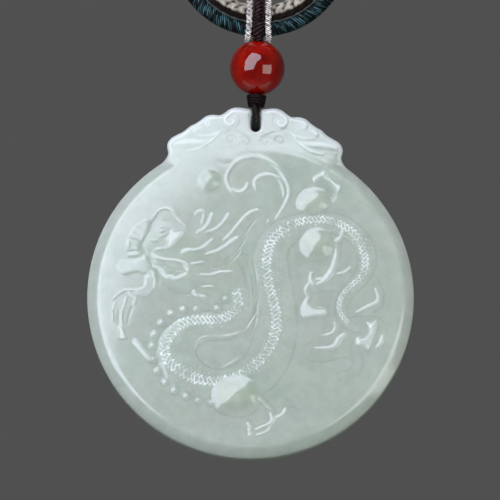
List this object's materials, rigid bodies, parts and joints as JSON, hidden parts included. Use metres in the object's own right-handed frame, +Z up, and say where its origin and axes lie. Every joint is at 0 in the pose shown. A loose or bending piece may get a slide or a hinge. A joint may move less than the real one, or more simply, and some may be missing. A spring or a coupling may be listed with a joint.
{
  "type": "jade pendant necklace",
  "caption": "Round jade plaque with a dragon in relief and a cloud crest, hung by a cord and a red agate bead on a doubled neck cord.",
  "frame": {"origin": "inside of the top of the neck loop, where it lies on the nape", "axes": "+Z up, the plaque's carved face looks along -Y, +X to the right of a viewer who faces it"},
  "size_m": [0.1344, 0.01, 0.335],
  "materials": {
    "jade": "polished pale green-white nephrite",
    "agate": "polished red agate",
    "brown_cord": "dark brown waxed thread",
    "teal_cord": "dark teal silky thread",
    "cream_cord": "cream and brown braided thread"
  },
  "bodies": {
    "necklace": {"neck_cord": "teal_cord", "braided_cord": "cream_cord", "wrapped_loop": "brown_cord", "side_strand_left": "cream_cord", "side_strand_right": "cream_cord", "stem_cord": "brown_cord", "agate_bead": "agate", "cone_knot": "brown_cord", "bail_cord": "brown_cord"},
    "plaque": {"jade_plaque": "jade"}
  },
  "joints": [
    {"name": "plaque_swing", "type": "hinge", "parent": "necklace", "child": "plaque", "pos_m": [0, 0, -0.2663], "axis": [1, 0, 0], "range_deg": [-12, 12]}
  ]
}
